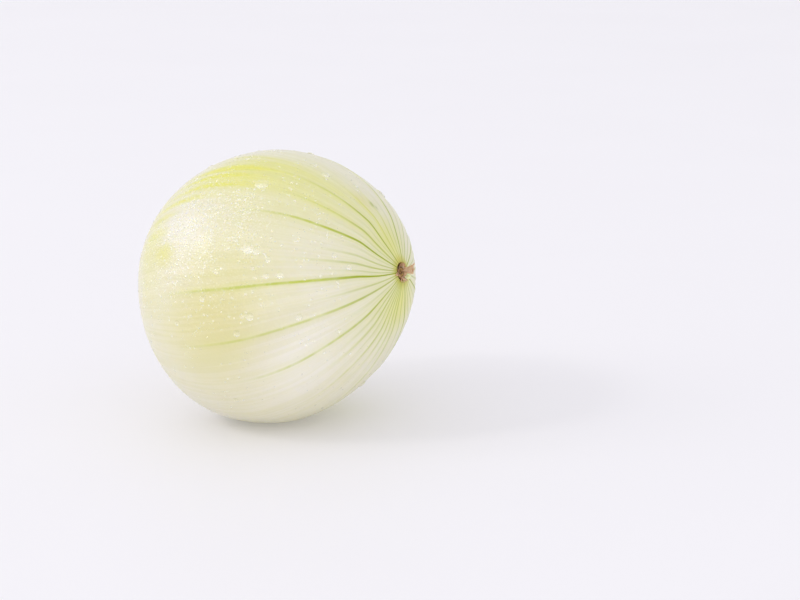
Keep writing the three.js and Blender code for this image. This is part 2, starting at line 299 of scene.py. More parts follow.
LOWEST_MIST = 5
WET_EVERYWHERE = 0.03
WETTEST_LONGITUDE = 56
WETTEST_HEIGHT = -2
WET_HALF_WIDTH = 36
WET_HALF_HEIGHT = 22

# Camera: angles in degrees, its nearest seen distance in metres
CAMERA_AZIMUTH = 27.0
CAMERA_ELEVATION = 14.0
CAMERA_DISTANCE = 620.0
CAMERA_LENS = 100.0
SENSOR_WIDTH = 36.0
NEAREST_SEEN = 0.01
BULB_RIGHT_OF_MIDDLE = -34.8
BULB_ABOVE_MIDDLE = 4.6

# Soft lights: azimuth from the camera's, elevation, size in metres, watts, colour
LIGHTS = [
    ("key", -80, 32, (1.1, 1.1), 8.0, "fffdf8"),
    ("lamp", -70, 40, (0.3, 0.3), 4.0, "fffdf8"),
    ("fill", 18, 2, (3.2, 0.7), 21.0, "fffefb"),
]
# The light's distance and the table's next two measures are in metres too
LIGHT_DISTANCE = 2.4
TABLE_HALF_WIDTH = 6.0
TABLE_BELOW_ONION = 0.0001
TABLE_MOTTLE_SIZE = 111.1


def smooth(value, low, high):
    """0 below low, 1 above high, and an even curve between."""
    share = min(max((value - low) / (high - low), 0.0), 1.0)
    return share * share * (3 - 2 * share)


def bell(value, width):
    """1 at 0, and falling off alike on both sides, to a third at the width."""
    return math.exp(-((value / width) ** 2))


def turn_between(degrees, other):
    """The signed angle from one longitude to another, in degrees."""
    return (degrees - other + 540) % 360 - 180


def lumps(spot, sizes):
    """A rough height at a spot, from noise of several heights and rates."""
    return sum(height * noise.noise(spot * rate) for height, rate in sizes)


def bezier(points, steps):
    """Points along a Bezier curve of any degree, without its first one."""
    made = []
    for i in range(1, steps + 1):
        level = [Vector(point) for point in points]
        while len(level) > 1:
            level = [a.lerp(b, i / steps) for a, b in zip(level, level[1:])]
        made.append(level[0])
    return made


# Shapes

def spun(shape, profile, steps):
    """Turns radius and z pairs that start and end on the axis into a closed shape."""
    chain = [shape.verts.new((radius, 0, z)) for radius, z in profile]
    edges = [shape.edges.new(pair) for pair in zip(chain, chain[1:])]
    bmesh.ops.spin(shape, geom=chain + edges, cent=(0, 0, 0), axis=(0, 0, 1), angle=2 * math.pi,
                   steps=steps, use_merge=True, use_duplicate=False)
    bmesh.ops.remove_doubles(shape, verts=shape.verts, dist=MERGE_WITHIN)
    bmesh.ops.recalc_face_normals(shape, faces=shape.faces)


def blade(shape, grid, thickness, place):
    """A thin leaf end: a grid bent by place(u, v). U runs across from -1 to 1, v along from 0."""
    across, along = grid
    made = bmesh.ops.create_grid(shape, x_segments=across, y_segments=along, size=1)["verts"]
    for vertex in made:
        vertex.co = place(vertex.co.x, (vertex.co.y + 1) / 2)
    faces = list({face for vertex in made for face in vertex.link_faces})
    bmesh.ops.solidify(shape, geom=faces, thickness=thickness)


def linked(name, data):
    """An object in the scene that holds a mesh, a camera or a light."""
    made = bpy.data.objects.new(name, data)
    bpy.context.scene.collection.objects.link(made)
    return made


def mesh_from(name, shape, material):
    """A mesh of one material from a bmesh, which is used up."""
    mesh = bpy.data.meshes.new(name)
    shape.to_mesh(mesh)
    shape.free()
    mesh.materials.append(material)
    return mesh


def finished(name, shape, material, slot, *nodes):
    """A piece from a bmesh that is already in its place. It rides on the onion's one body."""
    mesh = mesh_from(name, shape, material)
    mesh.shade_smooth()
    piece = linked(name, mesh)
    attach(piece, "root")
    if nodes:
        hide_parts(*nodes)


# Materials

def linear(hex_colour):
    """A linear colour with alpha from an sRGB hex value."""
    parts = [int(hex_colour[i:i + 2], 16) / 255 for i in (0, 2, 4)]
    return (*(c / 12.92 if c <= 0.04045 else ((c + 0.055) / 1.055) ** 2.4 for c in parts), 1.0)


def scale_of(size):
    """The scale of a pattern on Object coordinates whose grains are this many millimetres wide."""
    return 1 / (size * MM)


def add(tree, kind, values=None, **settings):
    """Adds a node and gives its first output in use. Settings are the node's own properties, and
    values go to its inputs in use, by name or by place."""
    node = tree.nodes.new("ShaderNode" + kind)
    for name, value in settings.items():
        setattr(node, name, value)
    inputs = [socket for socket in node.inputs if socket.enabled]
    for key, value in (values or {}).items():
        socket = inputs[key] if isinstance(key, int) else next(s for s in inputs if s.name == key)
        if isinstance(value, bpy.types.NodeSocket):
            tree.links.new(value, socket)
        else:
            socket.default_value = value
    return next((socket for socket in node.outputs if socket.enabled), None)


def new_material(name):
    material = bpy.data.materials.new(name)
    material.use_nodes = True
    material.node_tree.nodes.clear()
    return material, material.node_tree


def layered(tree, colour, layers):
    """Lays colours over each other. Each one shows where a pattern goes from low to high."""
    for pattern, low, high, hex_colour in layers:
        share = add(tree, "MapRange", {"Value": pattern, "From Min": low, "From Max": high},
                    interpolation_type="SMOOTHSTEP")
        colour = add(tree, "Mix", {0: share, "A": colour, "B": linear(hex_colour)},
                     data_type="RGBA")
    return colour


def moist_onion_flesh():
    """Fleshy scale of a peeled onion: soft, wet and a little see-through, so light bleeds in it.

    Cream where it is thick and greener towards the neck, with yellow-green veins along it. Fine
    lines 4 degrees apart are the smaller veins, yellow bands are where it saw the sun, and pale
    specks are painted glints of the finest droplets of water, each with a ring of painted shade."""
    material, tree = new_material("moist_onion_flesh")
    meridian, tint, mark = (add(tree, "Attribute", attribute_name=name).node.outputs["Vector"]
                            for name in ("meridian", "tint", "mark"))
    wet, bruise = (add(tree, "Attribute", attribute_name=name).node.outputs["Fac"]
                   for name in ("wet", "bruise"))
    cosine, sine, height = add(tree, "SeparateXYZ", {0: meridian}).node.outputs
    green, beige_and_painted_shade, yellow = add(tree, "SeparateXYZ", {0: tint}).node.outputs
    vein_gap, vein_strength, radius = add(tree, "SeparateXYZ", {0: mark}).node.outputs
    place = add(tree, "TexCoord").node.outputs["Object"]

    # Noise drawn out along the meridians: streaks to a radian, change along a mm, detail
    drawn = {}
    for name, per_radian, lengthwise, detail in [
        ("broad", 3.5, 0.02, 2.0), ("bands", 11.0, 0.015, 2.0), ("each line", 15.0, 0.004, 0.0),
        ("hair", 34.0, 0.03, 1.0), ("wander", 6.0, 0.004, 1.0), ("line end", 15.0, 0.0, 0.0),
        ("ragged", 3.0, 0.35, 2.0), ("fleck", 22.0, 0.35, 2.0),
    ]:
        along = add(tree, "VectorMath", {0: meridian, 1: (per_radian, per_radian, lengthwise)},
                    operation="MULTIPLY")
        drawn[name] = add(tree, "TexNoise", {"Vector": along, "Scale": 1.0, "Detail": detail})
    cloud, grain = (
        add(tree, "TexNoise", {"Vector": place, "Scale": scale_of(size), "Detail": detail})
        for size, detail in ((CLOUD_SIZE, 3.0), (SKIN_GRAIN_SIZE, 2.0)))
    cells, fine_cells = (add(tree, "TexVoronoi", {"Vector": place, "Scale": scale_of(spacing)})
                         for spacing in (DROPLET_SPACING, FINE_DROPLET_SPACING))

    angle = add(tree, "Math", {0: sine, 1: cosine}, operation="ARCTAN2")
    wander = add(tree, "Math", {0: drawn["wander"], 1: FINE_LINE_WANDER},
                 operation="MULTIPLY")
    phase = add(tree, "Math", {0: angle, 1: FINE_LINES, 2: wander}, operation="MULTIPLY_ADD")
    crest = add(tree, "Math", {0: phase}, operation="COSINE")
    line_end = add(tree, "Math", {
        0: drawn["line end"], 1: FINE_LINE_END_RANGE, 2: FINE_LINE_LOWEST_END,
    }, operation="MULTIPLY_ADD")
    past_end = add(tree, "Math", {0: height, 1: line_end}, operation="SUBTRACT")
    patchy = add(tree, "Math", {0: wet, 1: cloud}, operation="MULTIPLY")

    # Smooth steps of a value from low to high
    mask = {}
    for name, value, low, high, to_low, to_high in [
        ("paler", green, 0.05, -0.35, 0.0, 1.0), ("cloudy", cloud, 0.35, 0.65, 0.0, 0.6),
        ("greener", drawn["broad"], 0.25, 0.7, 0.6, 1.0),
        ("banded", drawn["bands"], 0.3, 0.62, 0.6, 1.0),
        ("neck end", height, 28.0, 40.5, 0.0, 0.25),
        ("hair", drawn["hair"], 0.4, 0.62, 0.0, 0.12),
        ("pale hair", drawn["hair"], 0.55, 0.4, 0.0, 0.07),
        ("line foot", radius, 5.0, 24.0, -0.2, 0.8),
        ("line strength", drawn["each line"], 0.34, 0.6, 0.15, 1.0),
        ("line shown", past_end, 0.0, 16.0, 0.0, 0.45),
        ("vein reach", radius, 3.0, 26.0, 0.26, 0.62),
        ("ragged", drawn["ragged"], 0.3, 0.6, 0.6, 1.0),
        ("vein height", height, -22.0, 34.0, 0.5, 1.0),
        ("neck vein", height, 28.0, 38.5, 0.0, 1.0),
        ("vein glow", vein_gap, 2.0, 0.2, 0.0, 0.25), ("upper", height, -4.0, 4.0, 0.0, 1.0),
        ("lower", height, 4.0, -4.0, 0.0, 1.0), ("rim", radius, 5.6, 2.9, 0.0, 0.85),
        ("lip", radius, 3.3, 2.5, 0.0, 0.6), ("pit", radius, 2.6, 2.25, 0.0, 1.0),
        ("root rim", radius, 13.0, 7.6, 0.0, 1.0),
        ("root hair", drawn["hair"], 0.35, 0.65, 0.1, 0.8),
        ("root seat", radius, 7.8, 6.8, 0.0, 1.0), ("patchy", patchy, 0.12, 0.42, 0.0, 1.0),
        # Speck and fine speck mark painted glints of droplets, and ring a painted shade round them.
        ("speck", cells, 0.4, 0.2, 0.0, 0.45), ("ring", cells, 0.62, 0.5, 0.0, 0.3),
        ("fine speck", fine_cells, 0.4, 0.2, 0.0, 0.35),
        ("fleck", drawn["fleck"], 0.5, 0.72, 0.0, 0.3), ("gloss", cloud, 0.3, 0.7, 0.36, 0.46),
    ]:
        mask[name] = add(tree, "MapRange", {
            "Value": value, "From Min": low, "From Max": high, "To Min": to_low, "To Max": to_high,
        }, interpolation_type="SMOOTHSTEP")
    line, vein = (
        add(tree, "MapRange", {"Value": value, "From Min": mask[start], "From Max": full},
            interpolation_type="SMOOTHSTEP")
        for value, start, full in ((crest, "line foot", 1.0), (vein_gap, "vein reach", 0.05)))

    # Colours over each other, each with the shares that are multiplied
    colour = linear("e3dfd0")
    for hex_colour, *shares in [
        # ebe8e0 where the greens are below 0 is a painted highlight; d8d19c on the beige tints is
        # partly a painted shade.
        ("dedac0", mask["cloudy"]), ("ebe8e0", mask["paler"]),
        ("dcdba0", green, mask["greener"]), ("d8d19c", beige_and_painted_shade),
        ("dedc5a", yellow, mask["banded"]), ("c8d468", yellow, mask["fleck"]),
        ("d8da98", mask["neck end"]), ("d2d290", mask["hair"]), ("f4f2ea", mask["pale hair"]),
        ("bcc45c", line, mask["line strength"], mask["line shown"]),
        ("d4d684", vein_strength, mask["vein glow"]),
        ("d0c65a", mask["upper"], mask["rim"]),
        ("b6c046", vein, vein_strength, mask["ragged"], mask["vein height"]),
        ("95a514", vein, vein_strength, mask["neck vein"]), ("869a1c", bruise, 0.6),
        # The rings are a painted shade at the edges of the finest droplets, and the specks their
        # painted glints.
        ("d3cf90", mask["ring"], mask["patchy"]), ("fbfaf2", mask["speck"], mask["patchy"]),
        ("fbfaf2", mask["fine speck"], mask["patchy"]),
        ("bfa050", mask["upper"], mask["lip"]), ("ab8c4a", mask["upper"], mask["pit"]),
        ("d9c48e", mask["lower"], mask["root rim"], mask["root hair"]),
        ("b49458", mask["lower"], mask["root seat"]),
    ]:
        share = shares[0]
        for other in shares[1:]:
            share = add(tree, "Math", {0: share, 1: other}, operation="MULTIPLY")
        colour = add(tree, "Mix", {0: share, "A": colour, "B": linear(hex_colour)},
                     data_type="RGBA")

    drops = add(tree, "Math", {0: mask["speck"], 1: mask["patchy"], 2: grain},
                operation="MULTIPLY_ADD")
    rows = add(tree, "Math", {0: drawn["hair"], 1: drops}, operation="ADD")
    bump = add(tree, "Bump", {"Height": rows, "Strength": 0.3, "Distance": 0.0002})
    shader = add(tree, "BsdfPrincipled", {
        "Base Color": colour, "Normal": bump, "Roughness": mask["gloss"],
        "IOR": 1.36, "Subsurface Weight": 0.7, "Subsurface Scale": 0.005,
        "Subsurface Radius": (1.0, 0.9, 0.6), "Coat Weight": 0.3, "Coat Roughness": 0.2,
        "Coat IOR": 1.33,
    })
    add(tree, "OutputMaterial", {"Surface": shader})
    return material


def tissue(name, grains, base, layers, relief, **surface):
    """A plant tissue coloured by its grain. Grains are a width in mm and a detail, and the first
    of them also makes the relief, a strength and a depth. The fibres of the real ones are finer,
    and are drawn as coarse as they need to show. A layer is a grain's number, from, to, colour."""
    material, tree = new_material(name)
    place = add(tree, "TexCoord").node.outputs["Object"]
    patterns = [
        add(tree, "TexNoise", {"Vector": place, "Scale": scale_of(width), "Detail": detail})
        for width, detail in grains]
    colour = layered(tree, linear(base), [(patterns[i], *shown) for i, *shown in layers])
    strength, depth = relief
    bump = add(tree, "Bump", {"Height": patterns[0], "Strength": strength, "Distance": depth})
    values = {socket.replace("_", " "): value for socket, value in surface.items()}
    shader = add(tree, "BsdfPrincipled", {"Base Color": colour, "Normal": bump, **values})
    add(tree, "OutputMaterial", {"Surface": shader})
    return material


def dry_onion_paper():
    """Shrivelled leaf ends: dull pinkish brown fibre, paler and straw coloured where it is thin."""
    return tissue(
        "dry_onion_paper", [(0.5556, 3.0), (1.923, 2.0)], "b28a60",
        [(1, 0.38, 0.62, "d6b08e"), (0, 0.52, 0.75, "e6cfae"), (0, 0.42, 0.3, "8a6542")],
        (0.5, 0.0002), Roughness=0.75, Subsurface_Weight=0.15, Subsurface_Scale=0.0006)


def rotted_leaf_core():
    """The damp middle of the neck where the leaves died back: brown with straw fibres, matt."""
    return tissue("rotted_leaf_core", [(0.6667, 3.0)], "6a4a22", [(0, 0.42, 0.66, "ad8b48")],
                  (0.7, 0.0003), Roughness=0.7)


def fresh_leaf_base():
    """The one leaf end that is still alive: pale green, moist and see-through."""
    return tissue("fresh_leaf_base", [(1.4286, 2.0)], "ecf0c0", [(0, 0.4, 0.65, "d3e2a6")],
                  (0.2, 0.0002), Roughness=0.4, IOR=1.36, Subsurface_Weight=0.5,
                  Subsurface_Scale=0.001)


def corky_root():
    """Dried root plate: dull tan cork, with paler and darker patches that follow its grain."""
    return tissue(
        "corky_root", [(0.7692, 3.0), (3.846, 2.0)], "a4854f",
        [(1, 0.35, 0.65, "cbb380"), (0, 0.52, 0.7, "705531")], (0.5, 0.0003), Roughness=0.85)


def water(name, presence, upper_clearness, lower_clearness):
    """Rinsing water. The lower half of a bead is milky, a painted glow of light from above that
    gathers there, and the upper edge has a painted shade, a little darker. Light still reaches the
    flesh below.

    Presence is how much of the water shows: all of a clear bead, and a part of fine mist, which
    scatters light and so looks like a pale bloom."""
    material, tree = new_material(name)
    place = add(tree, "TexCoord").node.outputs["Object"]
    dome = add(tree, "Attribute", attribute_name="dome").node.outputs["Vector"]
    _, low_side, _ = add(tree, "SeparateXYZ", {0: dome}).node.outputs
    ripple = add(tree, "TexNoise", {"Vector": place, "Scale": scale_of(RIPPLE_WIDTH)})
    bump = add(tree, "Bump", {"Height": ripple, "Strength": 0.05, "Distance": 0.0002})
    # Painted glow: the lower half of a bead is less clear, so it shows milky and pale.
    clearness = add(tree, "MapRange", {
        "Value": low_side, "From Min": -0.2, "From Max": 0.8, "To Min": upper_clearness,
        "To Max": lower_clearness,
    }, interpolation_type="SMOOTHSTEP")
    # Painted shade: the upper edge of a bead is a little darker.
    colour = layered(tree, linear("ffffff"), [(low_side, -0.35, -0.95, "eceed4")])
    bead = add(tree, "BsdfPrincipled", {
        "Base Color": colour, "Roughness": 0.04, "IOR": 1.33, "Transmission Weight": clearness,
        "Normal": bump,
    })
    path = add(tree, "LightPath").node.outputs
    light_passes = add(tree, "Math", {0: path["Is Shadow Ray"], 1: path["Is Diffuse Ray"]},
                       operation="MAXIMUM")
    clear = add(tree, "BsdfTransparent", {"Color": (1.0, 1.0, 1.0, 1.0)})
    shader = add(tree, "MixShader", {0: presence, 1: clear, 2: bead})
    shader = add(tree, "MixShader", {0: light_passes, 1: shader, 2: clear})
    add(tree, "OutputMaterial", {"Surface": shader})
    return material


def white_painted_table():
    """Studio table: plain, pale and matt, a little lit from below so that shadows stay soft."""
    material, tree = new_material("white_painted_table")
    place = add(tree, "TexCoord").node.outputs["Object"]
    mottle = add(tree, "TexNoise", {
        "Vector": place, "Scale": scale_of(TABLE_MOTTLE_SIZE), "Detail": 2.0,
    })
    colour = layered(tree, linear("dbdadf"), [(mottle, 0.0, 1.0, "dddce1")])
    shader = add(tree, "BsdfPrincipled", {
        "Base Color": colour, "Roughness": 0.6, "Emission Color": linear("fffdf8"),
        "Emission Strength": 0.17,
    })
    add(tree, "OutputMaterial", {"Surface": shader})
    return material


# Bulb

def bulb_profile():
    """Radius and z of the half section, from the root seat's middle to the neck pit's middle."""
    seat = SEAT_DEPTH - ROOT_DEPTH
    shoulder = (
        NECK_FOOT_RADIUS + NECK_SHOULDER * math.sin(NECK_SLOPE),
        NECK_HEIGHT - NECK_SHOULDER * math.cos(NECK_SLOPE),
    )
    pit = NECK_HEIGHT - NECK_PIT_DEPTH
    return [
        Vector((0, seat)),
        *bezier([(0, seat), (SEAT_RADIUS, seat)], SEAT_STEPS),
        *bezier([
            (SEAT_RADIUS, seat), (SEAT_RADIUS, -ROOT_DEPTH), (ROOT_RIM_RADIUS, -ROOT_DEPTH),
        ], SEAT_WALL_STEPS),
        *bezier([
            (ROOT_RIM_RADIUS, -ROOT_DEPTH), (ROOT_RIM_RADIUS + ROOT_FLATNESS, -ROOT_DEPTH),
            (BULB_RADIUS, -ROOT_FULLNESS), (BULB_RADIUS, 0),
        ], ROOT_HALF_STEPS),
        *bezier([
            (BULB_RADIUS, 0), (BULB_RADIUS, NECK_FULLNESS), shoulder,
            (NECK_FOOT_RADIUS, NECK_HEIGHT),
        ], NECK_HALF_STEPS),
        *bezier([
            (NECK_FOOT_RADIUS, NECK_HEIGHT), (NECK_PIT_RADIUS, NECK_HEIGHT + NECK_LIP_HEIGHT),
            (NECK_PIT_RADIUS, pit),
        ], LIP_STEPS),
        *bezier([(NECK_PIT_RADIUS, pit), (0, pit)], PIT_STEPS),
    ]


def section_shape(longitude):
    """How much longer than round the section's radius is at a longitude."""
    return (OVAL * math.cos(2 * (longitude - OVAL_LONGITUDE))
            + THREE_SIDED * math.cos(3 * (longitude - THREE_SIDED_LONGITUDE)))


def turned_longitude(longitude, z):
    """A vein's longitude changes a little between the root and the neck, and wanders on its way."""
    from_first = turn_between(math.degrees(longitude), FIRST_VEIN_LONGITUDE)
    turn = VEIN_TURN + FIRST_VEIN_TURN * bell(from_first, FIRST_VEIN_REACH)
    spot = Vector((math.cos(longitude) * VEIN_WANDER_AROUND,
                   math.sin(longitude) * VEIN_WANDER_AROUND, z / VEIN_WANDER_LENGTH))
    curl = VEIN_CURL * math.sin(VEIN_CURL_LONGITUDE - longitude)
    curl *= smooth(z, VEIN_CURL_START, NECK_HEIGHT)
    return longitude + turn * (z / NECK_HEIGHT - 0.5) + VEIN_WANDER * noise.noise(spot) + curl


def neck_offset(z):
    size = NECK_OFFSET * min(max(z / NECK_HEIGHT, 0), 1) ** NECK_OFFSET_POWER
    way = NECK_OFFSET_LONGITUDE
    return Vector((size * math.cos(way), size * math.sin(way), 0))


def neck_foot(sunk):
    """The middle of the neck, sunk below the neck's height."""
    return neck_offset(NECK_HEIGHT) + Vector((0, 0, NECK_HEIGHT - sunk))


def rib_share(radius, z):
    """Ribs are highest on the shoulder round the neck, and die out towards the widest ring."""
    if z < 0:
        return 0
    grown = smooth(radius, RIB_START_RADIUS, RIB_FULL_RADIUS)
    return grown * (1 - smooth(radius, RIB_FADE_RADIUS, RIB_END_RADIUS))


def mesh_columns():
    """For each column of the bulb's mesh: its longitude, the nearest vein and the rib's phase.

    Columns crowd at the veins, and two veins are an even number of ribs apart."""
    columns = []
    for i, (start, _, _) in enumerate(VEINS):
        span = (VEINS[(i + 1) % len(VEINS)][0] - start) % 360
        ribs = 2 * round(span / (2 * RIB_SPACING))
        steps = round(MESH_COLUMNS * span / 720) * 2
        for k in range(steps):
            share = k / steps
            share -= VEIN_CROWDING * math.sin(2 * math.pi * share) / (2 * math.pi)
            nearest = i if share < 0.5 else (i + 1) % len(VEINS)
            columns.append((math.radians(start + span * share), nearest, ribs * share))
    return columns


def wetness(degrees, z):
    """How densely the finest droplets cover the skin: most where the rinsing water ran off."""
    around = bell(turn_between(degrees, WETTEST_LONGITUDE), WET_HALF_WIDTH)
    return WET_EVERYWHERE + (1 - WET_EVERYWHERE) * around * bell(
        z - WETTEST_HEIGHT, WET_HALF_HEIGHT)


def place_matrix(upright_bulb):
    """Lays the upright onion down and moves it to where the frame holds the bulb."""
    lie = Matrix.Rotation(math.pi / 2 - AXIS_RISE, 4, "Y") @ Matrix.Rotation(math.pi, 4, "Z")
    lie = Matrix.Scale(MM, 4) @ lie
    corners = [lie @ vertex.co for vertex in upright_bulb.verts]
    low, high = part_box("bulb")
    middle = [(min(c[i] for c in corners) + max(c[i] for c in corners)) / 2 for i in (0, 1)]
    top = max(corner.z for corner in corners)
    move = ((low.x + high.x) / 2 - middle[0], (low.y + high.y) / 2 - middle[1], high.z - top)
    return Matrix.Translation(Vector(move)) @ lie


def make_bulb():
    """A grid, one column to a meridian and one row to a point of the half section, wrapped round
    the axis. The seam and the two ends are merged."""
    columns, profile = mesh_columns(), bulb_profile()
    shape = bmesh.new()
    layers = [shape.verts.layers.float_vector.new(name) for name in ("meridian", "tint", "mark")]
    wet, bruise = (shape.verts.layers.float.new(name) for name in ("wet", "bruise"))
    last = len(profile) - 1
    grid = bmesh.ops.create_grid(shape, x_segments=len(columns), y_segments=last, size=1)
    by_column = [[] for _ in columns]
    for vertex in grid["verts"]:
        number = round((vertex.co.x + 1) / 2 * len(columns)) % len(columns)
        by_column[number].append((vertex, profile[round((vertex.co.y + 1) / 2 * last)]))
    for (base, vein, rib), column in zip(columns, by_column):
        degrees = math.degrees(base)
        _, strength, ends = VEINS[vein]
        vein_angle = math.radians(abs(turn_between(degrees, VEINS[vein][0])))
        tints_here = [(bell(turn_between(degrees, middle), wide), height, tall, Vector(amounts))
                      for middle, height, wide, tall, *amounts in TINTS]
        for vertex, (radius, z) in column:
            longitude = turned_longitude(base, z)
            gap = radius * vein_angle
            shown = strength * smooth(z, ends, ends + VEIN_FADE)
            relief = VEIN_RELIEF * shown * bell(gap, VEIN_RELIEF_WIDTH) * smooth(
                radius, VEIN_START_RADIUS, VEIN_FULL_RADIUS)
            relief += RIB_RELIEF * math.cos(math.pi * rib) * rib_share(radius, z)
            oval = smooth(radius, ROUND_WITHIN_RADIUS, FULL_SECTION_RADIUS)
            oval *= section_shape(longitude)
            around = Vector((math.cos(longitude), math.sin(longitude), 0))
            swell = SWELL * noise.noise(Vector((
                around.x * SWELL_AROUND, around.y * SWELL_AROUND, z / SWELL_LENGTH)))
            swell *= smooth(radius, SWELL_START_RADIUS, FULL_SECTION_RADIUS)
            reach = radius * (1 + oval) + relief + swell
            tint = Vector((GREEN_EVERYWHERE, 0, 0))
            for share, height, tall, amounts in tints_here:
                if share > SMALLEST_SHARE:
                    tint += share * bell(z - height, tall) * amounts
            vertex.co = around * reach + neck_offset(z) + Vector((0, 0, z))
            values = (math.cos(base), math.sin(base), z), tint, (gap, shown, radius)
            for layer, value in zip(layers, values):
                vertex[layer] = value
            vertex[wet] = wetness(degrees, z)
            vertex[bruise] = sum(bell(turn_between(degrees, middle), wide) * bell(z - height, tall)
                                 for middle, height, wide, tall in BRUISES)
    bmesh.ops.remove_doubles(shape, verts=shape.verts, dist=MERGE_WITHIN)
    bmesh.ops.recalc_face_normals(shape, faces=shape.faces)
    lay_down = place_matrix(shape)
    bmesh.ops.transform(shape, matrix=lay_down, verts=shape.verts)
    for vertex in shape.verts:
        vertex.co.z = max(vertex.co.z, 0)
    surface = BVHTree.FromBMesh(shape)
    finished("onion_flesh", shape, moist_onion_flesh(), "onion_flesh", "bulb")
    return lay_down, surface


# Dry neck

def make_knot(lay_down):
    """The lumpy middle of the neck, sunk in the pit."""
    shape = bmesh.new()
    middle = neck_foot(KNOT_SUNK)
    bmesh.ops.create_uvsphere(shape, u_segments=28, v_segments=16, radius=1)
    for vertex in shape.verts:
        x, y, z = vertex.co
        flat = Vector((x * KNOT_RADIUS * KNOT_ROUNDNESS, y * KNOT_RADIUS * KNOT_ROUNDNESS,
                       z * KNOT_HALF_HEIGHT))
        vertex.co = flat * (1 + lumps(vertex.co, KNOT_LUMPS)) + middle
    bmesh.ops.transform(shape, matrix=lay_down, verts=shape.verts)
    finished("neck_core", shape, rotted_leaf_core(), "dry_skin", "dry_neck")


def make_leaf_ends(lay_down, paper):
    """A ragged crown of dry leaf ends round the pit: each stands up, then curls outwards."""
    shape = bmesh.new()
    chance = random.Random(FLAP_CHANCES)
    centre = neck_foot(FLAP_SUNK)
    for i in range(FLAP_COUNT):
        longitude = (i + chance.uniform(*FLAP_SPREAD)) / FLAP_COUNT * 2 * math.pi
        turned = math.degrees(longitude)
        droop = max(bell(turn_between(turned, middle), wide) for middle, wide in FLAP_DROOPS)
        length = chance.uniform(*FLAP_LENGTHS) + FLAP_DROOP_LENGTH * droop
        width = chance.uniform(*FLAP_HALF_WIDTHS)
        lean = math.radians(chance.uniform(*FLAP_LEANS) + FLAP_DROOP_LEAN * droop)
        curl = math.radians(chance.uniform(*FLAP_CURLS))
        ring = FLAP_RING + chance.uniform(*FLAP_RING_SPREAD)
        seed = chance.uniform(0, 50)

        def place(u, v):
            """Walks up the leaf end: the further along, the further it has leant out."""
            bend = lean + curl * v
            out = ring + length * v * math.sin(bend) + FLAP_CUP * u * u * v
            side = u * width * (1 - FLAP_TAPER * v * v)
            side += FLAP_CRINKLE * noise.noise(Vector((u, v * 3, seed)))
            ragged = FLAP_RAGGED * noise.noise(Vector((u * 4, seed, 7))) * v
            up = (length + ragged) * v * math.cos(bend)
            return Matrix.Rotation(longitude, 3, "Z") @ Vector((out, side, up)) + centre

        blade(shape, FLAP_GRID, chance.uniform(*FLAP_THICKNESSES), place)
    bmesh.ops.transform(shape, matrix=lay_down, verts=shape.verts)
    finished("dry_leaf_ends", shape, paper, "dry_skin")


def make_stub(lay_down, paper):
    """The folded end of the dried leaves: narrow at the pit, and a pleated fan beyond it."""
    shape = bmesh.new()
    foot = neck_foot(STUB_SUNK) + Vector((STUB_FOOT_SHIFT, 0, 0))
    lean_way = Vector((math.cos(STUB_LEAN_LONGITUDE), math.sin(STUB_LEAN_LONGITUDE), 0))
    for layer, (share, shift, length) in enumerate(STUB_LAYERS):

        def place(u, v):
            low, high = STUB_WIDTHS
            across = u * share * (low + (high - low) * v ** 1.5) / 2
            pleat = PLEAT_DEPTH * math.sin(u * PLEAT_RATE + layer) * v
            pleat += PLEAT_DEPTH * u * u * (1 - v)
            through = pleat + shift * (0.5 + 0.5 * v)
            through += 0.1 * noise.noise(Vector((u * 2, v * 4, layer)))
            ragged = 0.1 * noise.noise(Vector((u * 5, layer, 3))) + 0.08 * u
            up = STUB_LENGTH * length * (v + ragged * v * v)
            turn = STUB_TWIST * (v - 1) + STUB_LEAN_LONGITUDE
            spot = Matrix.Rotation(turn, 3, "Z") @ Vector((across, through, up))
            return spot + lean_way * STUB_LEAN * v * v + foot

        blade(shape, STUB_GRID, STUB_THICKNESS, place)
    bmesh.ops.transform(shape, matrix=lay_down, verts=shape.verts)
    finished("dry_leaf_stub", shape, paper, "dry_skin")


def make_green_end(lay_down):
    """The one leaf end that is still green, below the stub."""
    shape = bmesh.new()
    centre = neck_foot(GREEN_END_SUNK)

    def place(u, v):
        out = GREEN_END_RING + GREEN_END_CURL * v * v + 0.15 * u * u
        side = u * GREEN_END_HALF_WIDTH * (1 - 0.5 * v ** 3)
        spot = Vector((out, side, GREEN_END_LENGTH * v + 0.1 * u))
        return Matrix.Rotation(GREEN_END_LONGITUDE, 3, "Z") @ spot + centre

    blade(shape, GREEN_END_GRID, GREEN_END_THICKNESS, place)
    bmesh.ops.transform(shape, matrix=lay_down, verts=shape.verts)
    finished("green_leaf_end", shape, fresh_leaf_base(), "onion_flesh")


# Root plate

def plate_face(radius):
    """The z of the plate's face at a radius: crowned, in low rings."""
    crown = PLATE_CROWN * (1 - (radius / PLATE_RADIUS) ** 2)
    rings = PLATE_RING_RELIEF * math.cos(radius * PLATE_RING_RATE)
    return -ROOT_DEPTH - PLATE_EDGE_HEIGHT - crown - rings


def make_root_plate(lay_down, cork):
    """A corky disc in its seat, with a lumpy face and a slightly bulging edge."""
    shape = bmesh.new()
    radii = [PLATE_RADIUS * i / PLATE_FACE_STEPS for i in range(PLATE_FACE_STEPS + 1)]
    face = [(radius, plate_face(radius)) for radius in radii]
    back = -ROOT_DEPTH + SEAT_DEPTH - PLATE_BACK_GAP
    edge = [(PLATE_RADIUS + PLATE_BULGE, face[-1][1] + PLATE_BULGE_HEIGHT), (PLATE_RADIUS, back)]
    spun(shape, [*face, *edge, (0, back)], PLATE_STEPS_AROUND)
    for vertex in shape.verts:
        if vertex.co.z < back - 0.1:
            vertex.co.z += lumps(vertex.co, PLATE_LUMPS)
    bmesh.ops.transform(shape, matrix=lay_down, verts=shape.verts)
    finished("root_plate_cork", shape, cork, "root_cork", "root_plate")


